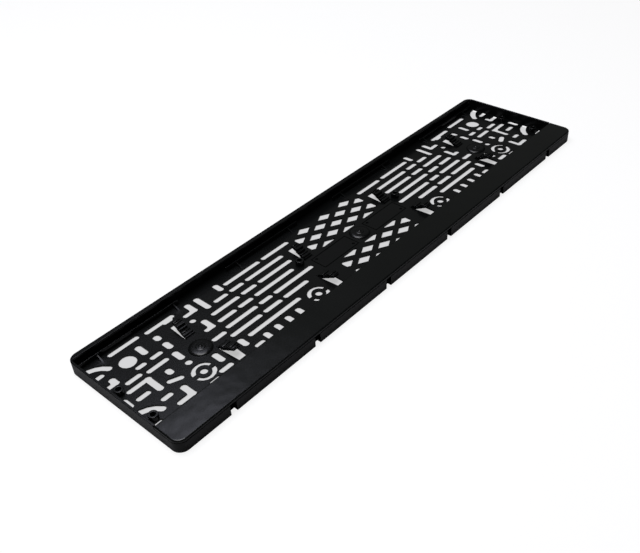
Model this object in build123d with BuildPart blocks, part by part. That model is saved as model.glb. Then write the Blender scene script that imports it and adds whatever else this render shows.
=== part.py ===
from build123d import *
from math import cos, pi, sin
import os

# Number plate holder: a shallow moulded frame with a perforated floor, and a strip that clips
# over its lower edge and hides the foot of the plate.
# It lies on its back: X runs along the plate, Y up the plate and Z towards the viewer.

# Overall frame
frame_length = 532.0
frame_height = 127.0
frame_depth = 11.7
corner_radius = 8.0
wall = 2.0
floor = 1.5

# Upper edge: a lip holds the plate, and thin rails with ribs in front stand under it
lip_reach = 2.4
lip_thickness = 1.8
rail_setback = 5.4
rail_thickness = 1.3
rail_height = 4.2
inner_rail_start = 25.0
inner_rail_end = 113.0
outer_rail_start = 166.0
outer_rail_gap = 2.0
rib_thickness = 1.2
rib_height = 3.2
rib_run = 8.0
inner_rib_inset = 11.8
outer_rib_inset = 5.2
end_rib_inset = 16.5

# Lower edge: the strip sits on the lowered walls and clips behind the long one
strip_width = 25.0
seat_height = 9.0
strip_round = 1.2
strip_seam = 0.4
strip_gap = 0.3
notch_width = 5.8
notch_depth = 3.6
notch_pitch = 86.8
notch_count = 6
clip_width = 14.0
clip_thickness = 1.6
clip_floor_gap = 1.5
catch_reach = 0.8
catch_rise = 1.2
catch_height = 6.2
snap_gap = 0.3

# Floor pattern, drawn for a floor of this size and stretched with the frame
pattern_length = 532.0
pattern_height = 127.0
slot_width = 5.1
upright_width = 5.9
slot_bridge = 2.2
row_top = 45.2
row_pitch = 10.2

# Each row is one long slot, from its first to its last distance from the middle,
# with a bridge at every distance between
row_breaks = (
    (47.5, 83.5, 128.0),
    (65.0, 112.5, 130.5, 148.0),
    (65.0, 107.5, 127.0, 160.0),
    (73.0, 121.5, 140.0, 162.0),
    (60.0, 109.5, 126.5, 163.0),
    (77.0, 108.5, 131.5, 167.5),
    (97.5, 158.5),
)

# Upright slots: distance from the middle, lower end, upper end
upright_slots = (
    (131.8, 40.5, 52.5),
    (153.4, 32.0, 52.0),
    (163.2, 37.5, 52.0),
    (164.6, -23.5, -12.0),
    (167.2, 11.7, 27.0),
    (187.6, -21.5, -8.5),
    (203.0, 20.0, 31.0),
    (203.0, 34.0, 42.3),
    (205.2, 4.0, 17.0),
    (219.3, 30.0, 44.0),
    (220.4, -1.7, 6.7),
    (224.0, -30.5, -15.0),
    (235.5, -8.3, 12.0),
    (252.7, 21.3, 31.6),
    (260.2, -5.4, 7.3),
)

# Cross slots: nearer end, farther end, height. The last three run into the end wall
cross_slots = (
    (152.3, 162.7, -29.0),
    (160.0, 174.8, 40.4),
    (164.0, 175.2, 14.5),
    (164.1, 178.8, 1.8),
    (177.0, 206.5, 49.4),
    (180.5, 190.5, 47.3),
    (184.4, 198.0, -27.5),
    (199.3, 210.0, -31.2),
    (209.7, 221.5, 23.7),
    (210.5, 240.0, 51.4),
    (211.4, 232.2, 14.3),
    (220.8, 238.0, -27.6),
    (225.0, 235.0, 23.7),
    (232.1, 254.3, 9.1),
    (232.3, 243.0, -15.7),
    (234.3, 249.5, 17.1),
    (241.4, 254.2, -1.9),
    (249.5, 270.0, 24.2),
    (252.5, 270.0, -31.1),
    (252.7, 270.0, 38.4),
)

# Round holes: distance from the middle, height, diameter
round_holes = (
    (172.6, 31.5, 5.6),
    (205.2, -1.5, 6.0),
    (233.6, 35.0, 14.0),
)

# Comb of upright slots that runs on under the strip
comb_start = 111.0
comb_pitch = 12.0
comb_count = 4
comb_top = -22.2
comb_bottom = -39.0

# One slanted slot beside each outer screw point
slant_x = 222.9
slant_y = -7.3
slant_length = 13.6
slant_angle = 22.7

# Bow-shaped slots that start at the end walls
bow_radius = 19.6
bow_width = 5.9
bow_heights = (31.0, -31.6)
bow_start = 60.0
bow_sweep = 90.0

# Diamond lattice in the middle, in two fields with square edges
diamond_length = 17.5
diamond_height = 9.5
lattice_step_x = 14.0
lattice_step_y = 7.55
lattice_reach = 45.0
upper_lattice_top = 45.4
upper_lattice_rows = 5
upper_lattice_edge = 14.2
lower_lattice_top = -9.8
lower_lattice_rows = 4
lower_lattice_edge = -8.3

# Screw points: a disc of floor with a screw hole, held by two bridges in a ring slot
outer_screw_pitch = 408.6
outer_screw_y = -17.5
inner_screw_pitch = 172.0
inner_screw_y = -24.7
hub_diameter = 12.2
hub_hole = 6.2
ring_slot = 3.5
hub_bridge = 3.0

# Low domes with a steep foot and a pip: diameter and height above the floor, from the foot up
dome_x = 189.4
dome_y = 2.7
dome_profile = ((19.2, 0.0), (18.0, 0.9), (15.2, 1.5), (7.6, 1.9), (6.6, 2.3))
pip_diameter = 3.0
pip_tip = 1.8
pip_height = 0.8

# Hollow pegs: distance from the middle and height of each
peg_points = ((257.3, 13.6), (256.5, -24.6), (66.7, 14.0))
peg_diameter = 7.5
peg_hole = 4.0
peg_height = 4.4

# Bare label panels, outlined by a fine groove, with a pin mark in two opposite corners
panel_start = 12.0
panel_end = 57.0
panel_bottom = -6.8
panel_top = 10.5
groove_width = 0.8
groove_depth = 0.8
mark_x = 18.4
mark_y = 5.2
mark_diameter = 2.6

# Stepped spring tongues, each in a window that narrows from the root of the tongue:
# distance from the middle, height of the root, way they point, length of the window
tongue_points = (
    (55.4, 12.8, 1, 23.4),
    (65.2, -7.5, -1, 23.6),
    (176.4, -5.5, -1, 24.3),
    (185.5, 17.8, 1, 22.2),
)
tongue_root_width = 9.0
tongue_tip_width = 6.4
tongue_thickness = 1.6
tongue_anchor = 2.0
tongue_flat = 1.5
window_root_width = 10.2
window_end_width = 7.4

# Steps of a tongue from its flat: run and rise of the ramp, then the length of the tread
tongue_steps = ((2.7, 2.5, 4.4), (4.4, 4.0, 5.6))

# Solid floor kept round everything that stands on it
keep_margin = 0.8

# Round shapes that repeat are drawn by flats: corners of a slot's end, sides of a circle
end_corners = 5
circle_sides = 16
mark_sides = 8
dome_sides = 20
bow_sides = 6

half_length = frame_length / 2
half_height = frame_height / 2
inner_x = half_length - wall
inner_y = half_height - wall
rail_front = inner_y - rail_setback
stretch_x = frame_length / pattern_length
stretch_y = frame_height / pattern_height
sides = (-1, 1)


def on_floor(x, y):
    return x * stretch_x, y * stretch_y


def both_sides(points):
    return [on_floor(side * x, y) for x, y in points for side in sides]


notches = [notch_pitch * (i - (notch_count - 1) / 2) for i in range(notch_count)]
clips = [(near + far) / 2 for near, far in zip(notches, notches[1:])]
outer_screws = [(side * outer_screw_pitch / 2, outer_screw_y * stretch_y) for side in sides]
inner_screws = [(side * inner_screw_pitch / 2, inner_screw_y * stretch_y) for side in sides]
screws = outer_screws + inner_screws
domes = both_sides([(dome_x, dome_y)]) + [on_floor(0, dome_y)]
pegs = both_sides(peg_points)
dome_diameter = max(diameter for diameter, height in dome_profile)
tongues = [
    (Location((*on_floor(side * x, y), 0), (0, 0, 90 - 90 * way)), window_length)
    for x, y, way, window_length in tongue_points
    for side in sides
]
panels = both_sides([((panel_start + panel_end) / 2, (panel_bottom + panel_top) / 2)])
marks = [(x + end * mark_x, y - end * mark_y) for x, y in panels for end in sides]


# Slot with round ends, whose flats touch the true half circles
def round_slot(length, width, rotation=0):
    turn = pi / end_corners
    reach = width / 2 / cos(turn / 2)
    angles = [turn * (i - (end_corners - 1) / 2) for i in range(end_corners)]
    end = [(length / 2 - reach + reach * cos(a), reach * sin(a)) for a in angles]
    Polygon(*end, *[(-x, -y) for x, y in end], rotation=rotation)


# Disc whose flats touch the true circle
def round_disc(diameter, flats=circle_sides, mode=Mode.ADD):
    RegularPolygon(diameter / 2, flats, major_radius=False, mode=mode)


# Points along one arc of a bow-shaped slot
def bow_arc(radius, center_y):
    step = bow_sweep / bow_sides
    angles = [(bow_start + i * step) * pi / 180 for i in range(bow_sides + 1)]
    return [(inner_x + radius * cos(a), center_y + radius * sin(a)) for a in angles]


# Window of a tongue, with its root on the X axis
def tongue_window(length, margin=0, mode=Mode.ADD):
    root_x = window_root_width / 2 + margin
    end_x = window_end_width / 2 + margin
    end_y = length + margin
    Polygon((-root_x, -margin), (root_x, -margin), (end_x, end_y), (-end_x, end_y), align=None, mode=mode)


# Slots of the right half of the floor, mirrored to the left
with BuildSketch() as slots:
    for row, breaks in enumerate(row_breaks):
        for near, far in zip(breaks, breaks[1:]):
            with Locations(on_floor((near + far) / 2, row_top - row * row_pitch)):
                round_slot((far - near) * stretch_x - slot_bridge, slot_width)
    for x, low, high in upright_slots:
        with Locations(on_floor(x, (low + high) / 2)):
            round_slot((high - low) * stretch_y, upright_width, rotation=90)
    for near, far, y in cross_slots:
        with Locations(on_floor((near + far) / 2, y)):
            round_slot((far - near) * stretch_x, slot_width)
    for i in range(comb_count):
        with Locations(on_floor(comb_start + i * comb_pitch, (comb_top + comb_bottom) / 2)):
            round_slot((comb_top - comb_bottom) * stretch_y, upright_width, rotation=90)
    for x, y, diameter in round_holes:
        with Locations(on_floor(x, y)):
            round_disc(diameter)
    with Locations(on_floor(slant_x, slant_y)):
        round_slot(slant_length, slot_width, rotation=slant_angle)
    for y in bow_heights:
        outer_arc = bow_arc(bow_radius + bow_width / 2, y * stretch_y)
        inner_arc = bow_arc(bow_radius - bow_width / 2, y * stretch_y)
        Polygon(*outer_arc, *reversed(inner_arc), align=None)
        with Locations(bow_arc(bow_radius, y * stretch_y)[-1]):
            round_disc(bow_width, 2 * end_corners)
    mirror(about=Plane.YZ)


# One field of the diamond lattice: staggered rows, cut square at the field's edges
def lattice_field(top, rows, near_edge, far_edge):
    with BuildSketch() as field:
        for row in range(rows):
            last = 2 + row % 2
            row_y = top - row * lattice_step_y
            with Locations(*[on_floor(i * lattice_step_x, row_y) for i in range(-last, last + 1, 2)]):
                Polygon(
                    (diamond_length / 2, 0),
                    (0, diamond_height / 2),
                    (-diamond_length / 2, 0),
                    (0, -diamond_height / 2),
                )
        with Locations((0, (near_edge + far_edge) / 2)):
            Rectangle(
                2 * lattice_reach * stretch_x, abs(far_edge - near_edge), mode=Mode.INTERSECT
            )
    return field.sketch


upper_lattice = lattice_field(
    upper_lattice_top, upper_lattice_rows, upper_lattice_edge * stretch_y, rail_front
)
lower_lattice = lattice_field(
    lower_lattice_top, lower_lattice_rows, lower_lattice_edge * stretch_y, -inner_y
)

# Every opening in the floor, clear of what stands on it
with BuildSketch() as openings:
    add(slots.sketch)
    add(upper_lattice)
    add(lower_lattice)
    with Locations((0, (rail_front - inner_y) / 2)):
        Rectangle(2 * inner_x, rail_front + inner_y, mode=Mode.INTERSECT)
    ring_diameter = hub_diameter + 2 * ring_slot
    with Locations(*screws):
        round_disc(ring_diameter + 2 * keep_margin, mode=Mode.SUBTRACT)
    with Locations(*domes):
        round_disc(dome_diameter, dome_sides, mode=Mode.SUBTRACT)
    with Locations(*pegs):
        round_disc(peg_diameter, mode=Mode.SUBTRACT)
    for root, window_length in tongues:
        with Locations(root):
            tongue_window(window_length, keep_margin, Mode.SUBTRACT)
            tongue_window(window_length)
    with Locations(*screws):
        round_disc(ring_diameter)
        round_disc(hub_diameter, mode=Mode.SUBTRACT)
        Rectangle(ring_diameter, hub_bridge, mode=Mode.SUBTRACT)

# Low dome with a pip, standing on the floor
with BuildPart() as dome:
    for diameter, height in dome_profile:
        with BuildSketch(Plane.XY.offset(floor + height)):
            round_disc(diameter, dome_sides)
    loft(ruled=True)
    pip_foot = floor + dome_profile[-1][1]
    for diameter, height in ((pip_diameter, pip_foot), (pip_tip, pip_foot + pip_height)):
        with BuildSketch(Plane.XY.offset(height)):
            round_disc(diameter, mark_sides)
    loft(ruled=True)

# Spring tongue that rises in steps along +Y from its root and narrows to its tip
with BuildPart() as tongue:
    tongue_top = [(-tongue_anchor, floor), (tongue_flat, floor)]
    for run, rise, tread in tongue_steps:
        foot_y, foot_z = tongue_top[-1]
        tongue_top.append((foot_y + run, foot_z + rise))
        tongue_top.append((foot_y + run + tread, foot_z + rise))
    with BuildSketch(Plane.YZ):
        with BuildLine():
            Polyline(*tongue_top)
            offset(amount=tongue_thickness, side=Side.RIGHT, kind=Kind.INTERSECTION)
        make_face()
    extrude(amount=tongue_root_width / 2, both=True)
    with BuildSketch():
        root_x = tongue_root_width / 2
        tip_x = tongue_tip_width / 2
        tip_y = tongue_top[-1][0]
        Polygon(
            (-root_x, -tongue_anchor),
            (root_x, -tongue_anchor),
            (root_x, 0),
            (tip_x, tip_y),
            (-tip_x, tip_y),
            (-root_x, 0),
            align=None,
        )
    extrude(amount=frame_depth, mode=Mode.INTERSECT)

# The frame, moulded in one piece
with BuildPart() as frame:
    with BuildSketch():
        RectangleRounded(frame_length, frame_height, corner_radius)
    extrude(amount=frame_depth)
    with BuildSketch(Plane.XY.offset(floor)):
        RectangleRounded(2 * inner_x, 2 * inner_y, corner_radius - wall)
    extrude(amount=frame_depth - floor, mode=Mode.SUBTRACT)

    # Lip along the upper wall
    with BuildSketch(Plane.XY.offset(frame_depth - lip_thickness)):
        RectangleRounded(frame_length, frame_height, corner_radius)
        with Locations((0, half_height)):
            Rectangle(
                frame_length,
                wall + lip_reach,
                align=(Align.CENTER, Align.MAX),
                mode=Mode.INTERSECT,
            )
    extrude(amount=lip_thickness)

    # Rails under the lip, each with two ribs in front
    outer_rail_end = inner_x - outer_rail_gap
    with BuildSketch(Plane.XY.offset(floor)):
        for start, end in (
            (inner_rail_start, inner_rail_end),
            (outer_rail_start, outer_rail_end),
        ):
            with Locations(*[(side * (start + end) / 2, rail_front) for side in sides]):
                Rectangle(end - start, rail_thickness, align=(Align.CENTER, Align.MIN))
    extrude(amount=rail_height)
    ribs = (
        inner_rail_start + inner_rib_inset,
        inner_rail_end - inner_rib_inset,
        outer_rail_start + outer_rib_inset,
        outer_rail_end - end_rib_inset,
    )
    with BuildSketch(*[Plane.YZ.offset(side * x) for x in ribs for side in sides]):
        with Locations((rail_front, floor)):
            Polygon((0, 0), (0, rib_height), (-rib_run, 0), align=None)
    extrude(amount=rib_thickness / 2, both=True)

    # Walls lowered under the strip, with notches and catches along the long one
    with BuildSketch(Plane.XY.offset(seat_height)):
        with Locations((0, -half_height)):
            Rectangle(frame_length, strip_width + strip_gap, align=(Align.CENTER, Align.MIN))
    extrude(amount=frame_depth - seat_height, mode=Mode.SUBTRACT)
    with BuildSketch():
        with Locations(*[(x, -half_height) for x in notches]):
            Rectangle(notch_width, notch_depth, align=(Align.CENTER, Align.MIN))
    extrude(amount=frame_depth, mode=Mode.SUBTRACT)
    with BuildSketch(*[Plane.YZ.offset(x) for x in clips]):
        with Locations((-inner_y, catch_height)):
            Polygon((0, 0), (catch_reach, 0), (0, catch_rise), align=None)
    extrude(amount=clip_width / 2, both=True)

    # Screw holes, and the hollow pegs and domes on the floor
    with Locations(*[(x, y, floor) for x, y in screws]):
        Hole(hub_hole / 2, floor)
    with BuildSketch(Plane.XY.offset(floor)):
        with Locations(*pegs):
            round_disc(peg_diameter)
            round_disc(peg_hole, mode=Mode.SUBTRACT)
    extrude(amount=peg_height)
    with Locations(*domes):
        add(dome.part)

    # Fine groove round each label panel, and its pin marks
    with BuildSketch(Plane.XY.offset(floor)):
        panel_length = (panel_end - panel_start) * stretch_x
        panel_height = (panel_top - panel_bottom) * stretch_y
        with Locations(*panels):
            Rectangle(panel_length, panel_height)
            Rectangle(
                panel_length - 2 * groove_width,
                panel_height - 2 * groove_width,
                mode=Mode.SUBTRACT,
            )
        with Locations(*marks):
            round_disc(mark_diameter, mark_sides)
    extrude(amount=-groove_depth, mode=Mode.SUBTRACT)

    # Floor openings, then the tongues that rise in their windows
    extrude(openings.sketch, amount=floor, mode=Mode.SUBTRACT)
    with Locations(*[root for root, window_length in tongues]):
        add(tongue.part)

# The strip that clips over the lower edge
with BuildPart() as clip_strip:
    with BuildSketch(Plane.XY.offset(seat_height)):
        RectangleRounded(frame_length, frame_height, corner_radius)
        with Locations((0, -half_height)):
            Rectangle(
                frame_length,
                strip_width,
                align=(Align.CENTER, Align.MIN),
                mode=Mode.INTERSECT,
            )
    extrude(amount=frame_depth - seat_height)
    fillet(clip_strip.faces().sort_by(Axis.Z)[-1].edges(), strip_round)
    seat_edges = clip_strip.faces().sort_by(Axis.Z)[0].edges()
    chamfer(seat_edges.sort_by(Axis.Y)[:-1], strip_seam)

    # Clips: a blade behind the wall with a barb under each catch
    blade_front = catch_reach + snap_gap
    blade_back = blade_front + clip_thickness
    blade_end = floor + clip_floor_gap
    barb_top = catch_height - snap_gap
    with BuildSketch(*[Plane.YZ.offset(x) for x in clips]):
        with Locations((-inner_y, 0)):
            Polygon(
                (blade_front, seat_height),
                (blade_front, barb_top),
                (snap_gap, barb_top),
                (blade_front, blade_end),
                (blade_back, blade_end),
                (blade_back, seat_height),
                align=None,
            )
    extrude(amount=clip_width / 2, both=True)

os.makedirs("parts", exist_ok=True)
frame.part.label = "frame"
export_step(frame.part, "parts/frame.step")
clip_strip.part.label = "clip_strip"
export_step(clip_strip.part, "parts/clip_strip.step")
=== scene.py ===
import math

import bpy
from mathutils import Matrix, Vector


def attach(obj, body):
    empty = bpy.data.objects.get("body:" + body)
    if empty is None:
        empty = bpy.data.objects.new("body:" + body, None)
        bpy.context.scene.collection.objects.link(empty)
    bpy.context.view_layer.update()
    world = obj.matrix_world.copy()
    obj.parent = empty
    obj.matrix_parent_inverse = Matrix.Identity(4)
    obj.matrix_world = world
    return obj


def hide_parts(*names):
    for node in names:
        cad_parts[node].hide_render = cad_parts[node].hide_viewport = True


mm = 0.001  # in metres

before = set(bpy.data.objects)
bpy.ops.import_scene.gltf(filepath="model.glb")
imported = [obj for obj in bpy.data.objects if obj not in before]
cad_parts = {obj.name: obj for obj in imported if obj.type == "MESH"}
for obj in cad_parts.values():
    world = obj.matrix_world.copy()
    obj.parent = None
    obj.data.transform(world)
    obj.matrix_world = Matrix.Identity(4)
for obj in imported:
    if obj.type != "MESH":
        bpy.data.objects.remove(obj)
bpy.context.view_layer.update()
print("frame loaded:", ", ".join(sorted(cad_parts)))


# sRGB hex to the linear colour that shader sockets take
def hexToLinear(code):
    channels = [int(code[i:i + 2], 16) / 255 for i in (1, 3, 5)]
    return [c / 12.92 if c <= 0.04045 else ((c + 0.055) / 1.055) ** 2.4 for c in channels] + [1.0]


# adds a node; an input is either a value or the socket to link from
def addNode(tree, kind, settings, inputs):
    node = tree.nodes.new(kind)
    for key, value in settings.items():
        setattr(node, key, value)
    for key, value in inputs.items():
        if isinstance(value, bpy.types.NodeSocket):
            tree.links.new(value, node.inputs[key])
        else:
            node.inputs[key].default_value = value
    return node


def newMaterial(name):
    material = bpy.data.materials.new(name)
    material.use_nodes = True
    material.node_tree.nodes.clear()
    return material, material.node_tree


# pattern scale for a noise whose grains are about this many millimetres
def grainScale(millimetres):
    return 1 / (millimetres * mm)


# polypropylene, injection moulded in a spark-eroded tool: satin, near black,
# a little paler where the melt flowed and where handling has polished the grain
framePlastic = {
    "name": "mouldedPolypropylene",
    "dark": "#080909",
    "pale": "#0e0f0f",
    "flowSize": 38.0,     # mm
    "grainSize": 1.3,     # mm; the real grain is about 0.2, too fine to show
    "grainHeight": 0.02,  # mm
    "waveSize": 30.0,     # mm; the slight unevenness of a thin moulded wall
    "waveHeight": 0.02,   # mm
    "smooth": 0.22,       # roughness where the colour is paler
    "rough": 0.27,        # and where it is darker
    "ior": 1.49,
    "specular": 0.42,
}

# ABS strip from a polished tool: smoother, so it takes a soft, slightly clouded sheen; in mm too
stripPlastic = {
    "name": "polishedAbs",
    "dark": "#080a09",
    "pale": "#0d0f0e",
    "flowSize": 60.0,
    "grainSize": 2.2,     # orange peel, drawn coarser than the real 0.5
    "grainHeight": 0.008,
    "waveSize": 14.0,
    "waveHeight": 0.20,
    "smooth": 0.19,
    "rough": 0.26,
    "ior": 1.54,
    "specular": 0.42,
}


def mouldedPlastic(look):
    material, tree = newMaterial(look["name"])
    place = addNode(tree, "ShaderNodeTexCoord", {}, {}).outputs["Object"]
    flow = addNode(tree, "ShaderNodeTexNoise", {}, {
        "Vector": place, "Scale": grainScale(look["flowSize"]), "Detail": 3.0, "Roughness": 0.55,
    })
    grain = addNode(tree, "ShaderNodeTexNoise", {}, {
        "Vector": place, "Scale": grainScale(look["grainSize"]), "Detail": 2.0,
    })
    wave = addNode(tree, "ShaderNodeTexNoise", {}, {
        "Vector": place, "Scale": grainScale(look["waveSize"]), "Detail": 1.0,
    })
    tone = addNode(tree, "ShaderNodeMix", {"data_type": "RGBA"}, {})
    tree.links.new(flow.outputs["Fac"], tone.inputs["Factor"])
    tone.inputs["A"].default_value = hexToLinear(look["dark"])
    tone.inputs["B"].default_value = hexToLinear(look["pale"])
    gloss = addNode(tree, "ShaderNodeMapRange", {}, {
        "Value": flow.outputs["Fac"], "From Min": 0.3, "From Max": 0.7,
        "To Min": look["rough"], "To Max": look["smooth"],
    })
    uneven = addNode(tree, "ShaderNodeMath", {"operation": "MULTIPLY_ADD"}, {
        0: wave.outputs["Fac"], 1: look["waveHeight"] / look["grainHeight"], 2: grain.outputs["Fac"],
    })
    bump = addNode(tree, "ShaderNodeBump", {}, {
        "Height": uneven.outputs["Value"], "Strength": 1.0, "Distance": look["grainHeight"] * mm,
    })
    shader = addNode(tree, "ShaderNodeBsdfPrincipled", {}, {
        "Base Color": tone.outputs["Result"], "Roughness": gloss.outputs["Result"],
        "IOR": look["ior"], "Specular IOR Level": look["specular"], "Normal": bump.outputs["Normal"],
    })
    addNode(tree, "ShaderNodeOutputMaterial", {}, {"Surface": shader.outputs["BSDF"]})
    return material


# each moulding: the CAD shape with its upper edges eased as a tool leaves them; mm and degrees
frameMoulding = {
    "node": "frame",
    "slot": "frame_plastic",
    "edgeRadius": 0.35,
    "edgeSteps": 3,
    "edgesAbove": 2.0,    # the pierced floor below keeps its crisp edges
    "sharpOver": 40.0,    # the flats of a round end meet at 36
    "domes": ((-189.4, 2.7), (0.0, 2.7), (189.4, 2.7)),
    "crownRadius": 4.2,   # of the middle of each dome, which is a little flatter than in the CAD
    "crownAbove": 3.2,
    "crownDrop": 0.25,
}
clipStrip = {
    "node": "clip_strip",
    "slot": "strip_plastic",
    "edgeRadius": 0.35,
    "edgeSteps": 3,
    "edgesAbove": 8.5,
    "sharpOver": 40.0,
    "domes": (),
}


def easedMoulding(name, spec, material):
    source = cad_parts[spec["node"]]
    bpy.ops.object.select_all(action="DESELECT")
    piece = bpy.data.objects.new(name, source.data.copy())
    bpy.context.collection.objects.link(piece)
    bpy.context.view_layer.objects.active = piece
    piece.select_set(True)
    for x, y in spec["domes"]:
        for vertex in piece.data.vertices:
            away = math.hypot(vertex.co.x - x * mm, vertex.co.y - y * mm)
            if away < spec["crownRadius"] * mm and vertex.co.z > spec["crownAbove"] * mm:
                vertex.co.z -= spec["crownDrop"] * mm
    bpy.ops.mesh.customdata_custom_splitnormals_clear()
    bpy.ops.object.mode_set(mode="EDIT")
    bpy.ops.mesh.select_all(action="SELECT")
    bpy.ops.mesh.remove_doubles(threshold=1e-6)
    bpy.ops.mesh.mark_sharp(clear=True)
    bpy.ops.mesh.select_mode(type="EDGE")
    bpy.ops.mesh.select_all(action="DESELECT")
    bpy.ops.mesh.edges_select_sharp(sharpness=math.radians(spec["sharpOver"]))
    bpy.ops.object.mode_set(mode="OBJECT")
    lowest = spec["edgesAbove"] * mm
    for edge in piece.data.edges:
        ends = [piece.data.vertices[i].co.z for i in edge.vertices]
        edge.select = edge.select and min(ends) > lowest
    bpy.ops.object.mode_set(mode="EDIT")
    bpy.ops.mesh.bevel(
        offset=spec["edgeRadius"] * mm, segments=spec["edgeSteps"], affect="EDGES", clamp_overlap=False,
    )
    bpy.ops.object.mode_set(mode="OBJECT")
    bpy.ops.object.shade_smooth_by_angle(angle=math.radians(spec["sharpOver"]))
    even = piece.modifiers.new("flatFaces", "WEIGHTED_NORMAL")
    even.keep_sharp = True
    even.weight = 100
    bpy.ops.object.modifier_apply(modifier=even.name)
    piece.data.materials.clear()
    piece.data.materials.append(material)
    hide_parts(spec["node"])
    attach(piece, "root")
    print(name, "eased:", len(piece.data.polygons), "faces")


blackPolypropylene = mouldedPlastic(framePlastic)
easedMoulding("frameMoulding", frameMoulding, blackPolypropylene)
easedMoulding("clipStrip", clipStrip, mouldedPlastic(stripPlastic))

# what the spring tongues show beyond the CAD: finer steps on their two ramps, ridges across
# the treads behind them and a straight underside; mm and degrees, along a tongue from its root
tongueSteps = {
    "roots": ((55.4, 12.8, 1), (65.2, -7.5, -1), (176.4, -5.5, -1), (185.5, 17.8, 1)),  # x, y, up or down
    "length": 18.6,
    "rootWidth": 9.0,
    "tipWidth": 6.4,
    "ramps": ((1.5, 1.5, 2.7, 2.5), (8.6, 4.0, 4.4, 4.0)),  # foot along and up, run, rise
    "stepsPerRamp": 2,
    "stepRadius": 0.5,
    "ridges": ((5.6, 4.0), (14.0, 8.0), (16.4, 8.0)),       # foot along and up
    "ridgeSize": (1.2, 0.9),  # along and up
    "ridgeRadius": 0.25,
    "edgeSteps": 3,
    "sharpOver": 40.0,
    "sink": 0.1,              # into the tongue, so no two faces fight
    "web": {
        "blocks": ((1.6, 8.7, 2.6), (8.7, 13.0, 5.8), (10.9, 18.4, 7.0)),  # from and to along, top
        "foot": 5.0,          # along the tongue, where the underside leaves the back
        "slope": 0.48,
        "inset": 0.2,         # from the sides of the tongue
    },
}


# a block of this size in mm, with its lower edge towards the root on the X axis
def addBlock(width, run, rise):
    bpy.ops.object.select_all(action="DESELECT")
    bpy.ops.mesh.primitive_cube_add(size=1.0, location=(0, run * mm / 2, rise * mm / 2))
    block = bpy.context.object
    block.dimensions = (width * mm, run * mm, rise * mm)
    bpy.ops.object.transform_apply(location=True, scale=True)
    return block


# a step is a block cut along the ramp, with the edge above its riser rounded;
# a ridge is a whole block with all its upper edges rounded
def addStep(width, run, rise, isRidge, spec):
    step = addBlock(width, run, rise)
    bpy.ops.object.mode_set(mode="EDIT")
    bpy.ops.mesh.select_all(action="SELECT")
    if not isRidge:
        bpy.ops.mesh.bisect(plane_co=(0, 0, 0), plane_no=(0, rise, -run), use_fill=True, clear_outer=True)
    bpy.ops.mesh.select_mode(type="EDGE")
    bpy.ops.mesh.select_all(action="DESELECT")
    bpy.ops.object.mode_set(mode="OBJECT")
    for edge in step.data.edges:
        ends = [step.data.vertices[i].co for i in edge.vertices]
        isUpper = all(end.z > rise * mm / 2 for end in ends)
        isRiser = all(end.y < run * mm / 2 for end in ends)
        edge.select = isUpper and (isRidge or isRiser)
    radius = spec["ridgeRadius"] if isRidge else spec["stepRadius"]
    bpy.ops.object.mode_set(mode="EDIT")
    bpy.ops.mesh.bevel(offset=radius * mm, segments=spec["edgeSteps"], affect="EDGES")
    bpy.ops.object.mode_set(mode="OBJECT")
    return step


# one length of the web under a tongue: a block cut along the straight underside
def addWeb(width, start, end, top, spec):
    web = addBlock(width, end - start, top)
    web.data.transform(Matrix.Translation((0, start * mm, 0)))
    bpy.ops.object.mode_set(mode="EDIT")
    bpy.ops.mesh.select_all(action="SELECT")
    bpy.ops.mesh.bisect(
        plane_co=(0, spec["foot"] * mm, 0), plane_no=(0, spec["slope"], -1),
        use_fill=True, clear_outer=True,
    )
    bpy.ops.object.mode_set(mode="OBJECT")
    return web


def tongueWidth(along, spec):
    return spec["rootWidth"] + (spec["tipWidth"] - spec["rootWidth"]) * along / spec["length"]


def stepTongues(spec, material):
    tongue = []
    for start, end, top in spec["web"]["blocks"]:
        width = tongueWidth(end, spec) - 2 * spec["web"]["inset"]
        tongue.append(addWeb(width, start, end, top, spec["web"]))
    count = spec["stepsPerRamp"]
    for along, up, run, rise in spec["ramps"]:
        for i in range(count):
            y = along + run * i / count
            z = up + rise * i / count
            step = addStep(tongueWidth(y, spec), run / count, rise / count, False, spec)
            step.data.transform(Matrix.Translation((0, y * mm, (z - spec["sink"]) * mm)))
            tongue.append(step)
    for y, z in spec["ridges"]:
        ridge = addStep(tongueWidth(y, spec), *spec["ridgeSize"], True, spec)
        ridge.data.transform(Matrix.Translation((0, y * mm, (z - spec["sink"]) * mm)))
        tongue.append(ridge)
    pieces = []
    for x, y, way in spec["roots"]:
        for side in (-1, 1):
            spun = Matrix.Rotation(0.0 if way > 0 else math.pi, 4, "Z")
            placed = Matrix.Translation((side * x * mm, y * mm, 0)) @ spun
            for part in tongue:
                piece = bpy.data.objects.new("tongueSteps", part.data.copy())
                piece.data.transform(placed)
                bpy.context.collection.objects.link(piece)
                pieces.append(piece)
    for part in tongue:
        bpy.data.objects.remove(part)
    bpy.ops.object.select_all(action="DESELECT")
    for piece in pieces:
        piece.select_set(True)
    steps = pieces[0]
    bpy.context.view_layer.objects.active = steps
    bpy.ops.object.join()
    bpy.ops.object.shade_smooth_by_angle(angle=math.radians(spec["sharpOver"]))
    steps.data.materials.append(material)
    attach(steps, "root")
    print("tongues stepped:", len(steps.data.polygons), "faces")


stepTongues(tongueSteps, blackPolypropylene)

# table, white to the camera, and a greyer sheet under the holder that shows through the pierced floor;
# its grey is painted shadow, for the shade inside the holes
table = {
    "name": "whiteTable",
    "size": (8.0, 8.0),       # m
    "drop": 0.0004,           # m below the back, so no two faces fight
    "paper": "#909090",
    "lift": 0.83,             # added for the camera alone, so the lit card reads as white
}
# painted shadow: a sheet under the holder, given less white for the camera than the table, so the holes
# read as shaded
paintedShadowSheet = {
    "name": "paintedShadowSheet",
    "size": (0.524, 0.119),
    "drop": 0.0002,
    "paper": "#909090",
    "lift": 0.48,
}


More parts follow.
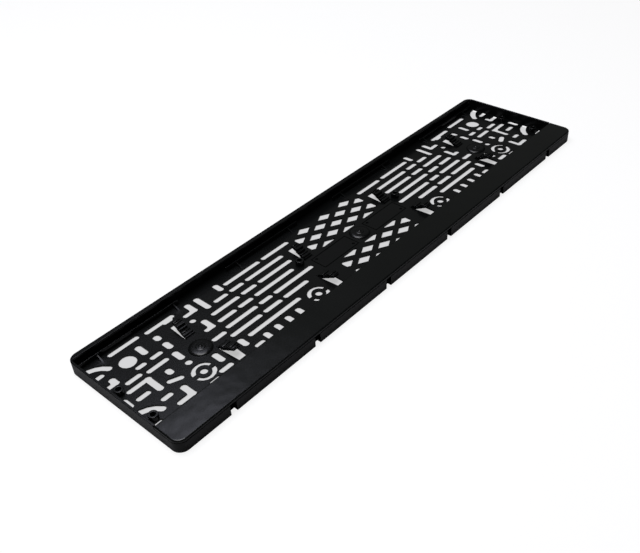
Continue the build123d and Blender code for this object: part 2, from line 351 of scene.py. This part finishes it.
def layCard(spec):
    bpy.ops.object.select_all(action="DESELECT")
    bpy.ops.mesh.primitive_plane_add(size=1.0, location=(0, 0, -spec["drop"]))
    card = bpy.context.object
    card.name = spec["name"]
    card.dimensions = (*spec["size"], 0.0)
    bpy.ops.object.transform_apply(location=True, scale=True)
    material, tree = newMaterial(spec["name"] + "Card")
    seen = addNode(tree, "ShaderNodeLightPath", {}, {})
    lifted = addNode(tree, "ShaderNodeMath", {"operation": "MULTIPLY"}, {
        0: seen.outputs["Is Camera Ray"], 1: spec["lift"],
    })
    paper = addNode(tree, "ShaderNodeBsdfDiffuse", {}, {"Color": hexToLinear(spec["paper"])})
    white = addNode(tree, "ShaderNodeEmission", {}, {"Strength": lifted.outputs["Value"]})
    both = addNode(tree, "ShaderNodeAddShader", {}, {
        0: paper.outputs["BSDF"], 1: white.outputs["Emission"],
    })
    addNode(tree, "ShaderNodeOutputMaterial", {}, {"Surface": both.outputs["Shader"]})
    card.data.materials.append(material)


layCard(table)
layCard(paintedShadowSheet)
print("table laid")

# soft boxes: overhead for the rounded edges and domes, a window for the sheen of the strip
# and a far wall for the even grey of the floor; metres and watts
softBoxes = {
    "overhead": {"at": (-0.30, 0.15, 1.5), "aim": (-0.30, 0.15, 0.0), "size": (0.9, 0.9),
                 "power": 15.0, "colour": "#fbfbff"},
    "window": {"at": (0.09, 0.79, 1.5), "aim": (0.09, 0.79, 0.0), "size": (0.92, 0.62),
               "power": 4.5, "colour": "#eceeff"},
    "farWall": {"at": (1.9, 1.6, 1.7), "aim": (0.0, 0.0, 0.0), "size": (2.6, 2.0),
                "power": 1.2, "colour": "#fbfffb"},
}


def hangSoftBox(name, spec):
    lamp = bpy.data.lights.new(name, "AREA")
    lamp.shape = "RECTANGLE"
    lamp.size = spec["size"][0]
    lamp.size_y = spec["size"][1]
    lamp.energy = spec["power"]
    lamp.color = hexToLinear(spec["colour"])[:3]
    box = bpy.data.objects.new(name, lamp)
    bpy.context.collection.objects.link(box)
    box.location = spec["at"]
    toTarget = Vector(spec["aim"]) - Vector(spec["at"])
    box.rotation_euler = toTarget.to_track_quat("-Z", "Y").to_euler()
    box.visible_camera = False


for boxName, boxSpec in softBoxes.items():
    hangSoftBox(boxName, boxSpec)

# studio walls: dim for the object, white to the camera
room = {"level": 0.03, "white": 1.0}
world = bpy.data.worlds.new("studio")
bpy.context.scene.world = world
world.use_nodes = True
world.node_tree.nodes.clear()
roomSeen = addNode(world.node_tree, "ShaderNodeLightPath", {}, {})
roomLevel = addNode(world.node_tree, "ShaderNodeMapRange", {}, {
    "Value": roomSeen.outputs["Is Camera Ray"], "To Min": room["level"], "To Max": room["white"],
})
roomLight = addNode(world.node_tree, "ShaderNodeBackground", {}, {
    "Color": (1, 1, 1, 1), "Strength": roomLevel.outputs["Result"],
})
addNode(world.node_tree, "ShaderNodeOutputWorld", {}, {"Surface": roomLight.outputs["Background"]})
print("lights hung")

# camera where the photographer stood; angles in degrees, lengths in metres
view = {
    "target": (-0.06773, -0.00976, 0.0),
    "azimuth": -46.054,
    "elevation": 38.187,
    "distance": 0.64487,
    "roll": -3.896,
    "lens": 43.353,       # mm
    "filmWidth": 36.0,    # mm
    "clipStart": 0.01,
}


def placeCamera(spec):
    turn = math.radians(spec["azimuth"])
    lift = math.radians(spec["elevation"])
    back = Vector((
        math.sin(turn) * math.cos(lift), -math.cos(turn) * math.cos(lift), math.sin(lift),
    ))
    lens = bpy.data.cameras.new("photoCamera")
    lens.lens = spec["lens"]
    lens.sensor_width = spec["filmWidth"]
    lens.clip_start = spec["clipStart"]
    camera = bpy.data.objects.new("photoCamera", lens)
    bpy.context.collection.objects.link(camera)
    aimed = back.to_track_quat("Z", "Y").to_matrix()
    rolled = aimed @ Matrix.Rotation(math.radians(spec["roll"]), 3, "Z")
    place = Vector(spec["target"]) + back * spec["distance"]
    camera.matrix_world = Matrix.Translation(place) @ rolled.to_4x4()
    bpy.context.scene.camera = camera


placeCamera(view)
bpy.context.scene.view_settings.view_transform = "Standard"
print("camera placed")
